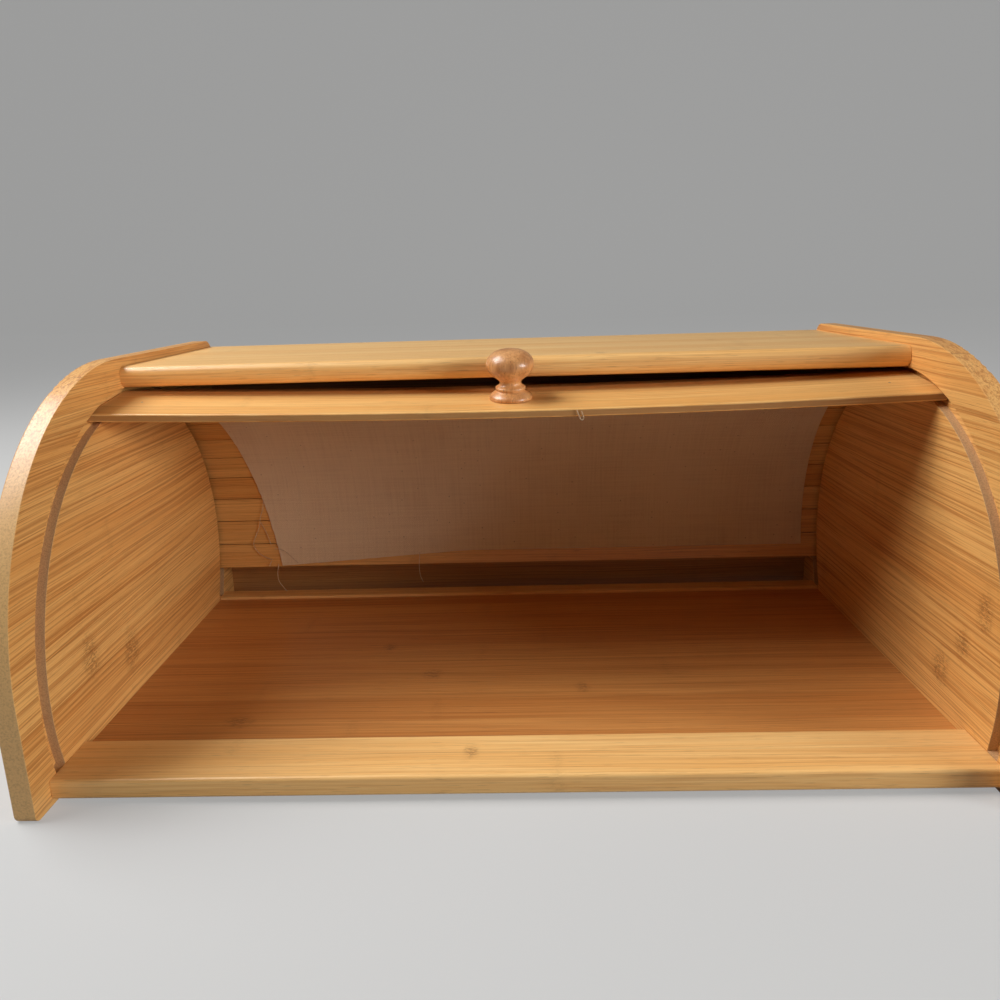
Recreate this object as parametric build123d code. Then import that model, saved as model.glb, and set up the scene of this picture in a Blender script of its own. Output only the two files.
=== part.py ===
"""Roll-top bread box of bamboo, with a slatted roll top that runs in grooves in the side panels.

Frame: X is the width, -Y is the open front, +Z is up. The origin is on the ground, at the middle
of the width and of the depth. The model stands with its roll top open. Lengths are in millimetres.

The track is the line that the middle of each slat follows in the side panels' grooves. Places on it
are given as a distance from the top of its front arc: less than zero towards the front rail, more
than zero over the flat run and down the rear arc.
"""
from build123d import *
from math import asin, atan2, cos, degrees, hypot, pi, sin, sqrt, tan
import os

# Case
box_width = 388.0
box_depth = 250.0
box_height = 166.0
side_thickness = 9.0
side_front_radius = 120.0
side_rear_radius = 9.0
side_foot_radius = 3.0
side_edge_round = 1.2
ground_gap = 2.5
top_inset = 4.0
top_thickness = 10.0
top_setback = 121.0
top_nose_flat = 1.2
top_rear_round = 1.5
floor_thickness = 5.5
rail_width = 30.0
rail_setback = 12.0
rail_proud = 3.0
rail_front_round = 1.5
rear_rail_width = 11.5
rear_rail_proud = 1.5
rear_rail_lap = 10.0
back_thickness = 8.0

# Track and grooves in the side panels
track_front_margin = 18.5
track_rear_margin = 20.5
track_flat = 4.0
track_radius_step = 18.0
groove_width = 7.0
groove_depth = 4.0
groove_front_reach = 0.6

# Roll top
lead_width = 41.0
lead_thickness = 3.8
lead_front_clearance = 0.4
slat_count = 12
slat_thickness = 3.2
slat_gap = 0.7
slat_edge_chamfer = 0.5
slat_end_clearance = 1.0
rail_clearance = 1.2
tail_gap = 17.5
knob_stop_gap = 1.4
knob_stop_clearance = 0.6

# Canvas on the inner faces of the slats
canvas_thickness = 0.6
canvas_glue_gap = 0.1
canvas_left_low = 146.0
canvas_left_high = 172.0
canvas_right = 176.0
canvas_lead_lap = 15.0
canvas_end_left = 0.8
canvas_end_right = 8.0
canvas_knee = 30.0

# Knob and its screw
knob_foot_radius = 9.9
knob_foot_height = 1.3
knob_flare_depth = 1.2
knob_bead_radius = 6.9
knob_bead_height = 5.1
knob_bead_round = 1.0
knob_neck_radius = 4.9
knob_neck_height = 7.9
knob_neck_round = 1.1
knob_head_radius = 11.0
knob_head_centre = 15.6
knob_head_round = 1.4
knob_height = 22.8
knob_top_radius = 5.0
screw_radius = 1.75
screw_head_radius = 3.4
screw_head_height = 2.0
screw_bite = 12.0
screw_slot_width = 0.9
screw_slot_depth = 0.7

# Brads in the ends of the lead slat
brad_radius = 0.6
brad_inset = 16.4
brad_length = 2.0

# Dowels
dowel_radius = 3.0
thin_dowel_radius = 2.0
dowel_in_side = 5.0
dowel_in_board = 15.0
dowel_end_gap = 0.5
top_dowel_inset = 22.0
rail_dowel_inset = 7.0
back_dowel_inset = 24.0
skin_clearance = 0.02

# Worked out from the sizes above
half_width = box_width / 2
wall = half_width - side_thickness
front = -box_depth / 2
rear = box_depth / 2
floor_top = ground_gap + floor_thickness
rail_top = floor_top + rail_proud
top_under = box_height - top_inset - top_thickness
top_front = front + top_setback
rail_front = front + rail_setback
back_front = rear - back_thickness
track_run = box_depth - track_front_margin - track_rear_margin
front_arc = (track_run - track_flat + track_radius_step) / 2
rear_arc = front_arc - track_radius_step
track_top = top_under - groove_width / 2
front_centre = (front + track_front_margin + front_arc, track_top - front_arc)
rear_centre = (front_centre[0] + track_flat, track_top - rear_arc)
rear_rail_top = floor_top + rear_rail_proud
groove_end = track_flat + rear_arc * (pi / 2 + asin((rear_centre[1] - rear_rail_top) / rear_arc))
rail_place = -front_arc * (pi / 2 + asin((front_centre[1] - rail_top) / front_arc))
groove_begin = rail_place - groove_front_reach
rear_rail_front = rear_centre[0] + rear_arc - groove_width / 2 - rear_rail_lap
lead_front_face = (
    groove_width / 2 - lead_front_clearance + sqrt(front_arc**2 - (lead_width / 2) ** 2) - front_arc
)
lead_rear_under = sqrt((front_arc - slat_thickness / 2) ** 2 - (lead_width / 2) ** 2) - front_arc
lead_tilt = asin((lead_front_face - lead_thickness - lead_rear_under) / lead_width)
lead_face = lead_front_face - lead_width / 2 * sin(lead_tilt)
knob_rise = front_arc + lead_face + knob_head_centre * cos(lead_tilt)
knob_lean = knob_head_centre * sin(lead_tilt)
knob_reach = hypot(knob_rise, knob_lean)
knob_setback = front_centre[0] - top_front + knob_stop_gap + knob_head_radius
knob_turn = asin(knob_setback / knob_reach) + atan2(knob_lean, knob_rise)
lead_open = -front_arc * knob_turn - lead_width / 2
lead_closed = rail_place + rail_clearance
travel = lead_open - lead_closed
over_open_angle = degrees((knob_stop_gap - knob_stop_clearance) / knob_reach)
over_open_run = front_arc * (knob_stop_gap - knob_stop_clearance) / knob_reach
tail = groove_end - tail_gap - over_open_run
slat_pitch = (tail - lead_open - lead_width) / slat_count
slat_width = slat_pitch - slat_gap
slat_length = 2 * (wall + groove_depth - slat_end_clearance)


def track_turn(place):
    """Angle in radians that the track has turned through since the top of its front arc."""
    if place < 0:
        return place / front_arc
    return max(0.0, (place - track_flat) / rear_arc)


def track_point(place, outward=0.0):
    """Point (y, z) at a place on the track, moved outward from it."""
    turn = track_turn(place)
    if place < 0:
        centre, radius = front_centre, front_arc
    elif place <= track_flat:
        centre, radius = (front_centre[0] + place, front_centre[1]), front_arc
    else:
        centre, radius = rear_centre, rear_arc
    return (
        centre[0] + (radius + outward) * sin(turn),
        centre[1] + (radius + outward) * cos(turn),
    )


def track_edges(begin, end, outward):
    """Line and arcs along the track from begin to end, moved outward from it."""
    stops = [begin] + [s for s in (0.0, track_flat) if begin < s < end] + [end]
    edges = []
    for first, last in zip(stops, stops[1:]):
        middle = (first + last) / 2
        a, m, b = (track_point(s, outward) for s in (first, middle, last))
        edges.append(Line(a, b) if 0 <= middle <= track_flat else ThreePointArc(a, m, b))
    return edges


def track_band(begin, end, inner, outer):
    """Flat face (y, z) between two lines that follow the track."""
    near = track_edges(begin, end, inner)
    far = track_edges(begin, end, outer)
    caps = [
        Line(track_point(s, inner), track_point(s, outer))
        for s in (begin, end)
    ]
    return make_face(near + far + caps)


def slat_location(place):
    """Plane location of a slat whose middle is at a place: its Y runs along the track, its Z outward."""
    y, z = track_point(place)
    return Location((0, y, z), (-degrees(track_turn(place)), 0, 0))


def swing(place):
    """Pivot (y, z) and angle in degrees of the one turn that takes a slat from open to closed."""
    start, end = track_point(place), track_point(place - travel)
    angle = track_turn(place) - track_turn(place - travel)
    reach = 1 / (2 * tan(angle / 2))
    return (
        (start[0] + end[0]) / 2 - (end[1] - start[1]) * reach,
        (start[1] + end[1]) / 2 + (end[0] - start[0]) * reach,
        degrees(angle),
    )


def block(x, y, z):
    """Box between two limits on each axis."""
    size = (x[1] - x[0], y[1] - y[0], z[1] - z[0])
    centre = ((x[0] + x[1]) / 2, (y[0] + y[1]) / 2, (z[0] + z[1]) / 2)
    return Pos(*centre) * Box(*size)


def side_panel(side):
    """Side panel with its round front, its groove and its dowel holes. side is -1 for left, 1 for right."""
    outline = Plane.YZ * Pos(0, box_height / 2) * Rectangle(box_depth, box_height)
    top_front_corner = outline.vertices().sort_by(lambda v: v.Z - v.Y)[-1:]
    outline = fillet(top_front_corner, side_front_radius)
    top_rear_corner = outline.vertices().sort_by(lambda v: v.Y + v.Z)[-1:]
    outline = fillet(top_rear_corner, side_rear_radius)
    outline = fillet(outline.vertices().group_by(Axis.Z)[0], side_foot_radius)
    panel = Pos(side * (wall + side_thickness / 2)) * extrude(outline, side_thickness / 2, both=True)
    outer_face = panel.faces().sort_by(lambda f: side * f.center().X)[-1]
    panel = fillet(outer_face.edges(), side_edge_round)
    groove = Plane.YZ * track_band(groove_begin, groove_end, -groove_width / 2, groove_width / 2)
    groove = extrude(groove, groove_depth)
    shift = wall if side > 0 else -wall - groove_depth
    panel -= Pos(shift) * groove
    for y, z, radius in dowel_places():
        panel -= dowel(side, y, z, radius + skin_clearance, dowel_end_gap)
    return panel


def dowel(side, y, z, radius, end_gap=0.0):
    """Dowel along X across the joint between a side panel and a board."""
    length = dowel_in_side + dowel_in_board + 2 * end_gap
    middle = side * (wall + (dowel_in_side - dowel_in_board) / 2)
    return Pos(middle, y, z) * Rot(0, 90, 0) * Cylinder(radius, length)


def top_dowel_places():
    middle = top_under + top_thickness / 2
    return [(y, middle, dowel_radius) for y in (top_front + top_dowel_inset, rear - top_dowel_inset)]


def front_rail_dowel_places():
    middle = (ground_gap + rail_top) / 2
    inset = rail_dowel_inset
    return [(y, middle, thin_dowel_radius) for y in (rail_front + inset, rail_front + rail_width - inset)]


def rear_rail_dowel_places():
    middle = (ground_gap + rear_rail_top) / 2
    return [(rear_rail_front + rear_rail_width / 2, middle, thin_dowel_radius)]


def back_dowel_places():
    y = back_front + back_thickness / 2
    low, high = ground_gap + back_dowel_inset, top_under - back_dowel_inset
    return [(y, z, thin_dowel_radius) for z in (low, high)]


def dowel_places():
    """Every dowel as (y, z, radius)."""
    return (
        top_dowel_places()
        + front_rail_dowel_places()
        + rear_rail_dowel_places()
        + back_dowel_places()
    )


def drilled(board, places):
    """A board with its dowel holes at both ends."""
    for side in (-1, 1):
        for y, z, radius in places:
            board -= dowel(side, y, z, radius + skin_clearance, dowel_end_gap)
    return board


def dowels(places):
    """The dowels of one board, as separate solids."""
    return Compound(children=[dowel(side, y, z, r) for side in (-1, 1) for y, z, r in places])


def top_board():
    board = block((-wall, wall), (top_front, rear), (top_under, top_under + top_thickness))
    front_edges = board.edges().filter_by(Axis.X).sort_by(Axis.Y)[:2]
    board = fillet(front_edges, (top_thickness - top_nose_flat) / 2)
    rear_edges = board.edges().filter_by(Axis.X).sort_by(Axis.Y)[-2:]
    board = fillet(rear_edges.sort_by(Axis.Z)[-1:], top_rear_round)
    return drilled(board, top_dowel_places())


def floor_panel():
    return block((-wall, wall), (rail_front + rail_width, rear_rail_front), (ground_gap, floor_top))


def front_rail():
    rail = block((-wall, wall), (rail_front, rail_front + rail_width), (ground_gap, rail_top))
    front_edges = rail.edges().filter_by(Axis.X).sort_by(Axis.Y)[:2]
    rail = fillet(front_edges, rail_front_round)
    return drilled(rail, front_rail_dowel_places())


def rear_rail():
    y = (rear_rail_front, rear_rail_front + rear_rail_width)
    rail = block((-wall, wall), y, (ground_gap, rear_rail_top))
    return drilled(rail, rear_rail_dowel_places())


def back_panel():
    panel = block((-wall, wall), (back_front, rear), (ground_gap, top_under))
    return drilled(panel, back_dowel_places())


def slat(index):
    """One narrow slat with its outer long edges chamfered."""
    strip = Box(slat_length, slat_width, slat_thickness)
    outer = strip.edges().filter_by(Axis.X).sort_by(Axis.Z)[-2:]
    strip = chamfer(outer, slat_edge_chamfer)
    return slat_location(slat_place(index)) * strip


def slat_place(index):
    """Place of a slat's middle with the roll top open. The lead slat is index 0."""
    if index == 0:
        return lead_open + lead_width / 2
    return lead_open + lead_width + index * slat_pitch - slat_width / 2


def lead_slat():
    """Wide front slat, drilled for the knob's screw and the brads."""
    half_length, half_lead = slat_length / 2, lead_width / 2
    board = block((-half_length, half_length), (-half_lead, half_lead), (-lead_thickness, 0))
    board = chamfer(board.edges().filter_by(Axis.X), slat_edge_chamfer)
    board -= knob_screw_shape(skin_clearance)
    for x in brad_places():
        board -= brad(x, skin_clearance)
    return lead_location() * board


def lead_location():
    """Location of the lead slat: its Z is 0 on the outer face, which drops a little towards the rear."""
    half_lead = lead_width / 2
    seat = Pos(0, -half_lead, lead_front_face) * Rot(-degrees(lead_tilt), 0, 0) * Pos(0, half_lead, 0)
    return slat_location(slat_place(0)) * seat


def brad_places():
    x = slat_length / 2 - brad_inset
    return [-x, x]


def brad(x, grow=0.0):
    """One brad, driven in flush with the lead slat's outer face."""
    length = brad_length + grow
    return Pos(x, 0, -length / 2) * Cylinder(brad_radius + grow, length)


def lead_slat_brads():
    return lead_location() * Compound(children=[brad(x) for x in brad_places()])


def knob_screw_shape(grow=0.0):
    """Countersunk screw from the lead slat's inner face up into the knob."""
    head = Pos(0, 0, screw_head_height / 2 - lead_thickness) * Cone(
        screw_head_radius + grow, screw_radius + grow, screw_head_height
    )
    length = lead_thickness + screw_bite + grow
    return head + Pos(0, 0, length / 2 - lead_thickness) * Cylinder(screw_radius + grow, length)


def knob_screw():
    drive_slot = Pos(0, 0, -lead_thickness) * Box(
        2 * screw_head_radius, screw_slot_width, 2 * screw_slot_depth
    )
    return lead_location() * (knob_screw_shape() - drive_slot)


def pull_knob():
    """Turned knob: a flared foot, a bead, a neck and a round head."""
    flare_top = (knob_bead_radius - knob_bead_round, knob_bead_height - knob_bead_round)
    flare_middle = (
        (knob_foot_radius + knob_bead_radius) / 2 - knob_flare_depth,
        (knob_foot_height + knob_bead_height) / 2,
    )
    bead_top = (knob_bead_radius - knob_bead_round, knob_bead_height + knob_bead_round)
    neck_top = (knob_neck_radius + knob_neck_round, knob_neck_height + knob_neck_round)
    head_waist = (knob_head_radius - knob_head_round, (knob_neck_height + knob_head_centre) / 2)
    head_shoulder = (knob_head_radius - knob_head_round, (knob_head_centre + knob_height) / 2 + 1)
    outline = [
        Line((0, 0), (knob_foot_radius, 0)),
        Line((knob_foot_radius, 0), (knob_foot_radius, knob_foot_height)),
        ThreePointArc((knob_foot_radius, knob_foot_height), flare_middle, flare_top),
        ThreePointArc(flare_top, (knob_bead_radius, knob_bead_height), bead_top),
        ThreePointArc(bead_top, (knob_neck_radius, knob_neck_height), neck_top),
        ThreePointArc(neck_top, head_waist, (knob_head_radius, knob_head_centre)),
        ThreePointArc(
            (knob_head_radius, knob_head_centre), head_shoulder, (knob_top_radius, knob_height)
        ),
        Line((knob_top_radius, knob_height), (0, knob_height)),
        Line((0, knob_height), (0, 0)),
    ]
    knob = revolve(Plane.XZ * make_face(outline), Axis.Z)
    return lead_location() * (knob - knob_screw_shape(skin_clearance))


def canvas_backing():
    """Canvas under the slats: a thin sheet along the track, cut to a taper and with a crooked end."""
    half_lead = lead_width / 2
    lap_outer = -lead_thickness - canvas_glue_gap
    lap = block(
        (-half_width, half_width),
        (half_lead - canvas_lead_lap, half_lead),
        (lap_outer - canvas_thickness, lap_outer),
    )
    outer = -slat_thickness / 2 - canvas_glue_gap
    end = tail - canvas_end_left
    band = Plane.YZ * track_band(lead_open + lead_width, end, outer - canvas_thickness, outer)
    sheet = lead_location() * lap + extrude(band, half_width, both=True)
    low = track_point(end)[1]
    knee = low + canvas_end_right - canvas_end_left
    taper = (canvas_left_high - canvas_left_low) / (track_top - low)
    cut = Plane.XZ * Polyline(
        (-canvas_left_low, low),
        (-canvas_knee, knee),
        (canvas_right, knee),
        (canvas_right, box_height),
        (-canvas_left_low - taper * (box_height - low), box_height),
        (-canvas_left_low, low),
    )
    return sheet & extrude(make_face(cut), box_depth, both=True)


def pieces():
    """Every node's name with its shape."""
    named = {
        "left_side": side_panel(-1),
        "right_side": side_panel(1),
        "top_board": top_board(),
        "floor_panel": floor_panel(),
        "front_rail": front_rail(),
        "rear_rail": rear_rail(),
        "back_panel": back_panel(),
        "top_board_dowels": dowels(top_dowel_places()),
        "front_rail_dowels": dowels(front_rail_dowel_places()),
        "rear_rail_dowels": dowels(rear_rail_dowel_places()),
        "back_panel_dowels": dowels(back_dowel_places()),
        "lead_slat": lead_slat(),
        "lead_slat_brads": lead_slat_brads(),
        "pull_knob": pull_knob(),
        "knob_screw": knob_screw(),
        "canvas_backing": canvas_backing(),
    }
    for index in range(1, slat_count + 1):
        named[f"slat_{index:02d}"] = slat(index)
    return named


os.makedirs("parts", exist_ok=True)
for name, shape in pieces().items():
    export_step(shape, f"parts/{name}.step")

for index in range(slat_count + 1):
    y, z, angle = swing(slat_place(index))
    print(f"slat {index:2d} pivot y {y:.4f} z {z:.4f} closes by {angle:.5f} degrees")
print(f"over-open angle {over_open_angle} degrees, travel {travel:.2f} mm, tail at {track_point(tail)}")
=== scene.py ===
"""Dresses the roll-top bread box for pictures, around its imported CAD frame.

X is the width, -Y the open front and +Z up. Sizes in the classes are in millimetres, meshes in metres.
A slat's own frame has X along the slat, Y along the track towards the back, and Z outward.
"""
import logging
import math
from dataclasses import dataclass, replace
from enum import Enum
from typing import Callable, Iterable, Sequence

import bmesh
import bpy
from mathutils import Matrix, Vector, noise


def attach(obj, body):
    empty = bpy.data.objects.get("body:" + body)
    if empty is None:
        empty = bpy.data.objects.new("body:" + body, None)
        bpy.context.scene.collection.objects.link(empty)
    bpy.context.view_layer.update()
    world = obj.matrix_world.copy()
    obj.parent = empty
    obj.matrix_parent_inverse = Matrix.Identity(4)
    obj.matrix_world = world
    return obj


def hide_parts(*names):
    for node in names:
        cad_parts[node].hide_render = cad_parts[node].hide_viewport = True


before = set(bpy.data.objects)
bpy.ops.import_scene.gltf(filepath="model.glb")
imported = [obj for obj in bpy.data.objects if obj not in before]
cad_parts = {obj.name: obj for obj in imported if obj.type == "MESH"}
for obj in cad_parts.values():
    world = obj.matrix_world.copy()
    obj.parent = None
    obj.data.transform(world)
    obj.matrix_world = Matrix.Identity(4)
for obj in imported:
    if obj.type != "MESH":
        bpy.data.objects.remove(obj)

MM = 0.001
MERGE_DISTANCE = 1e-6
FLAT_ANGLE = math.radians(0.5)
SMOOTH_ANGLE = math.radians(35)
GLOSSY_SHARE = 0.4
STRIP_SHIFT = (3.0, 3.0, 3.0)

# Patterns of bamboo, in waves a metre along, across and through the grain
WAVER = (9, 30, 30)
BANDS = (5, 170, 170)
FIBRES = (9, 1300, 1300)
HAIRS = (18, 3000, 3000)
STREAKS = (7, 850, 850)
PORES = (90, 2300, 2300)
STROKES = (420, 1300, 1300)
SPECKLE = (260, 1300, 1300)
PITS = (1900, 1900, 1900)
# Patches of the paler tint on rounded edges, partly wear and partly painted highlight
RUB_AND_HIGHLIGHT = (60, 60, 60)
JOINT_EDGE = (90, 300, 300)
KNUCKLE_EDGE = (160, 260, 260)

# Patterns of turned beech, cloth, thread and steel, in waves a metre
RINGS = (130, 130, 34)
RAYS = (900, 900, 60)
FLECKS = (2100, 2100, 330)
WARP = (900, 26, 0)
WEFT = (22, 900, 0)
CLOUDS = (26, 26, 0)
SEEDS = 105.0
FLUFF = (2500, 2500, 2500)
SCRATCHES = (2600, 2600, 2600)

Colour = tuple[float, float, float]
Socket = bpy.types.NodeSocket
Input = Socket | float | Sequence[float]

log = logging.getLogger("bread_box")


def linear(colour: Colour) -> tuple[float, float, float, float]:
    """Scene-linear colour with alpha.

    Args:
        colour: red, green and blue from 0 to 255, as a screen shows them.

    Returns:
        Red, green, blue and alpha from 0 to 1.
    """
    shares = [c / 255 for c in colour]
    red, green, blue = (c / 12.92 if c <= 0.04045 else ((c + 0.055) / 1.055) ** 2.4 for c in shares)
    return red, green, blue, 1.0


class Lie(Enum):
    """How the grain lies in a board, as the object axes of (along, across, through)."""

    LENGTHWISE = ("X", "Y", "Z")
    UPRIGHT = ("X", "Z", "Y")
    FRONT_TO_BACK = ("Y", "Z", "X")
    OWN = ()


class Wiring:
    """The node tree of a material or a world, with short calls that add nodes and link them."""

    def __init__(self, owner: bpy.types.ID) -> None:
        """Starts an empty tree.

        Args:
            owner: the material or the world.
        """
        owner.use_nodes = True
        self.owner = owner
        self.tree = owner.node_tree
        self.tree.nodes.clear()

    def add(self, kind: str, inputs: dict[str | int, Input], **settings: object) -> bpy.types.Node:
        """Adds one node.

        Args:
            kind: the node's type name.
            inputs: what goes into its sockets, by name or number.
            **settings: the node's own options.

        Returns:
            The node.
        """
        node = self.tree.nodes.new(kind)
        for key, value in settings.items():
            setattr(node, key, value)
        for key, value in inputs.items():
            if isinstance(value, bpy.types.NodeSocket):
                self.tree.links.new(value, node.inputs[key])
            else:
                node.inputs[key].default_value = value
        return node

    def calc(self, operation: str, *values: Input) -> Socket:
        """Value of a Math node's operation on its inputs in order."""
        return self.add("ShaderNodeMath", dict(enumerate(values)), operation=operation).outputs[0]

    def vector(self, operation: str, first: Input, second: Input = (0.0, 0.0, 0.0)) -> Socket:
        """Vector of a Vector Math node's operation, or its value for a length."""
        node = self.add("ShaderNodeVectorMath", {0: first, 1: second}, operation=operation)
        return node.outputs[1 if operation == "LENGTH" else 0]

    def noise(self, at: Socket, stretch: Sequence[float], detail: float = 2.0, rough: float = 0.5) -> Socket:
        """Cloudy pattern.

        Args:
            at: the place that it is read at.
            stretch: waves a metre on each axis.
            detail: how many finer layers it has.
            rough: how strong the finer layers are.

        Returns:
            A value socket, mostly from 0.3 to 0.7.
        """
        place = self.vector("MULTIPLY", at, stretch)
        inputs = {"Vector": place, "Scale": 1.0, "Detail": detail, "Roughness": rough}
        return self.add("ShaderNodeTexNoise", inputs).outputs[0]

    def fade(self, value: Socket, low: float, high: float) -> Socket:
        """Smooth step of a value, from 0 at low to 1 at high."""
        inputs = {"Value": value, "From Min": low, "From Max": high}
        return self.add("ShaderNodeMapRange", inputs, interpolation_type="SMOOTHSTEP").outputs[0]

    def mix(self, share: Input, first: Input, second: Input) -> Socket:
        """Blend of two colours; the share of the second runs from 0 to 1."""
        inputs = {0: share, 6: first, 7: second}
        return self.add("ShaderNodeMix", inputs, data_type="RGBA").outputs[2]

    def tinted(self, colour: Input, tint: Colour, mask: Socket, strength: float) -> Socket:
        """A colour under a tint that is as strong as the mask times a strength."""
        return self.mix(self.calc("MULTIPLY", mask, strength), colour, linear(tint))

    def parts(self, vector: Socket) -> Sequence[Socket]:
        """The three values of a vector."""
        return self.add("ShaderNodeSeparateXYZ", {0: vector}).outputs

    def seen(self) -> Socket:
        """1 where the camera looks straight at the surface, GLOSSY_SHARE in a reflection, otherwise 0."""
        path = self.add("ShaderNodeLightPath", {}).outputs
        return self.calc("MULTIPLY_ADD", path["Is Glossy Ray"], GLOSSY_SHARE, path["Is Camera Ray"])

    def attribute(self, name: str) -> bpy.types.Node:
        """Node that reads a mesh attribute."""
        return self.add("ShaderNodeAttribute", {}, attribute_name=name)

    def grain(self, lie: Lie) -> Socket:
        """Place in a board as (along, across, through) its grain.

        Args:
            lie: how the grain lies.

        Returns:
            The vector socket, in metres.
        """
        if lie is Lie.OWN:
            return self.attribute("grain").outputs["Vector"]
        return self.turned(self.add("ShaderNodeTexCoord", {}).outputs["Object"], lie)

    def turned(self, vector: Socket, lie: Lie) -> Socket:
        """An object vector with its axes in the grain's order.

        Args:
            vector: the vector.
            lie: how the grain lies.

        Returns:
            The vector socket.
        """
        parts = self.parts(vector)
        ordered = {i: parts["XYZ".index(axis)] for i, axis in enumerate(lie.value)}
        return self.add("ShaderNodeCombineXYZ", ordered).outputs[0]

    def surface(self, colour: Input, roughness: Input, height: Socket | None = None, depth: float = 0.0,
                **others: Input) -> bpy.types.Material:
        """Ends the tree in a shader.

        Args:
            colour: the base colour.
            roughness: the roughness.
            height: relief from 0 to 1, or None.
            depth: the relief's depth in millimetres.
            **others: what goes into other sockets of the shader, with _ for a space.

        Returns:
            The finished material.
        """
        inputs = {"Base Color": colour, "Roughness": roughness}
        inputs.update({key.replace("_", " "): value for key, value in others.items()})
        if height is not None:
            relief = {"Height": height, "Strength": 1.0, "Distance": depth * MM}
            inputs["Normal"] = self.add("ShaderNodeBump", relief).outputs[0]
        shader = self.add("ShaderNodeBsdfPrincipled", inputs)
        self.add("ShaderNodeOutputMaterial", {"Surface": shader.outputs[0]})
        return self.owner


@dataclass(frozen=True)
class Knuckle:
    """Mark where a bamboo stem's joint was: its place along and across the grain, and its size."""

    along: float
    across: float
    length: float = 7.0
    width: float = 9.0


@dataclass(frozen=True)
class Bamboo:
    """Laminated bamboo under a thin clear lacquer. Its strips, knuckles and relief are in millimetres."""

    name: str
    lie: Lie
    pale: Colour
    deep: Colour
    vein: Colour = (150, 88, 38)
    dash: Colour = (104, 60, 28)
    strip: float = 20.0
    strip_start: float = 0.0
    strip_contrast: float = 0.35
    band_strength: float = 0.42
    hair_strength: float = 1.5
    sway: float = 4.0
    glue_line: float = 0.25
    glue_strength: float = 0.3
    vein_strength: float = 0.5
    streak_strength: float = 0.2
    dash_strength: float = 0.25
    stray_marks: float = 0.3
    mark_strength: float = 0.42
    mark_inner: float = 3.0
    mark_outer: float = 8.5
    mark_ragged: float = 8.0
    knuckle_spacing: float = 310.0
    knuckles: tuple[Knuckle, ...] = ()
    foot_strip: float | None = None
    foot_strength: float = 0.6
    # How much paler the rounded edges are painted, partly as wear and partly as a painted highlight.
    worn_and_highlight_strength: float = 0.45
    roughness: float = 0.36
    relief: float = 0.09
    coat: float = 0.2
    coat_roughness: float = 0.22
    seed: float = 0.0
    # Colour of milled faces: the grooves' floors, and the lead slat's front edge, where it is partly the cut
    # edge's own tone and partly painted shade.
    milled_and_shaded: Colour | None = None
    milled_and_shaded_share: float = 0.85
    end_grain: Colour | None = None

    def material(self) -> bpy.types.Material:
        """Makes the material.

        Returns:
            The finished material.
        """
        w = Wiring(bpy.data.materials.new(self.name))
        place = w.grain(self.lie)
        parts = w.parts(place)
        across = w.calc("DIVIDE", w.calc("SUBTRACT", parts[1], self.strip_start * MM), self.strip * MM)
        number = w.calc("ADD", w.calc("FLOOR", across), self.seed)
        chance = w.add("ShaderNodeTexWhiteNoise", {"W": number}, noise_dimensions="1D").outputs
        own = w.vector("ADD", place, w.vector("MULTIPLY", chance["Color"], STRIP_SHIFT))
        waver = w.noise(own, WAVER, 1)
        bent = w.vector("ADD", own, w.add("ShaderNodeCombineXYZ", {
            1: w.calc("MULTIPLY", w.calc("SUBTRACT", waver, 0.5), self.sway * MM)}).outputs[0])
        bands = w.noise(bent, BANDS, 2)
        fibre = w.noise(bent, FIBRES, 2, 0.6)
        hair = w.noise(bent, HAIRS, 2, 0.6)
        tone = w.calc("MULTIPLY", w.calc("SUBTRACT", chance["Value"], 0.5), self.strip_contrast * 2)
        tone = w.calc("MULTIPLY_ADD", w.fade(bands, 0.25, 0.75), self.band_strength, w.calc("ADD", tone, 0.2))
        tone = w.calc("MULTIPLY_ADD", w.calc("SUBTRACT", hair, 0.5), self.hair_strength, tone)
        colour = w.mix(w.fade(tone, -0.1, 1.1), linear(self.pale), linear(self.deep))
        if self.foot_strip is not None:
            foot = w.fade(parts[1], (self.foot_strip + 0.2) * MM, (self.foot_strip - 0.2) * MM)
            colour = w.tinted(colour, self.pale, foot, self.foot_strength)
        colour = w.tinted(colour, self.vein, w.fade(fibre, 0.48, 0.7), self.vein_strength)
        streaks = w.fade(w.noise(bent, STREAKS, 1), 0.5, 0.64)
        colour = w.tinted(colour, self.vein, streaks, self.streak_strength)
        dashes = w.calc("MULTIPLY", w.fade(w.noise(bent, PORES, 1), 0.63, 0.72), self.dash_strength)
        colour = w.mix(dashes, colour, linear(self.dash))
        edge = w.calc("ABSOLUTE", w.calc("SUBTRACT", w.calc("FRACT", across), 0.5))
        glue = w.fade(edge, 0.5 - self.glue_line / self.strip, 0.5)
        colour = w.tinted(colour, self.dash, glue, self.glue_strength)
        marks = self.knuckle_marks(w, place, own, chance["Value"])
        strokes = w.fade(w.noise(bent, STROKES, 2, 0.6), 0.44, 0.58)
        stain = w.calc("MULTIPLY", marks, w.calc("MULTIPLY_ADD", strokes, self.mark_strength, 0.1))
        colour = w.mix(stain, colour, linear(self.dash))
        rough = w.calc("MULTIPLY_ADD", fibre, 0.22, self.roughness - 0.06)
        relief = w.calc("SUBTRACT", w.calc("MULTIPLY_ADD", fibre, 0.6, w.calc("MULTIPLY", hair, 0.4)), dashes)
        relief = w.calc("SUBTRACT", relief, w.calc("MULTIPLY", stain, 0.8))
        colour, rough, relief = self.bare_wood(w, place, (colour, rough, relief))
        # Rounded edges are tinted paler: partly wear, partly a painted highlight along the edge.
        worn_and_highlit = w.attribute("worn_and_highlit").outputs["Fac"]
        rub_and_highlight = w.calc("MULTIPLY", worn_and_highlit, w.fade(w.noise(place, RUB_AND_HIGHLIGHT, 3), 0.35, 0.65))
        colour = w.tinted(colour, self.pale, rub_and_highlight, self.worn_and_highlight_strength)
        return w.surface(colour, rough, relief, self.relief, Coat_Weight=self.coat,
                         Coat_Roughness=self.coat_roughness)

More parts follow.
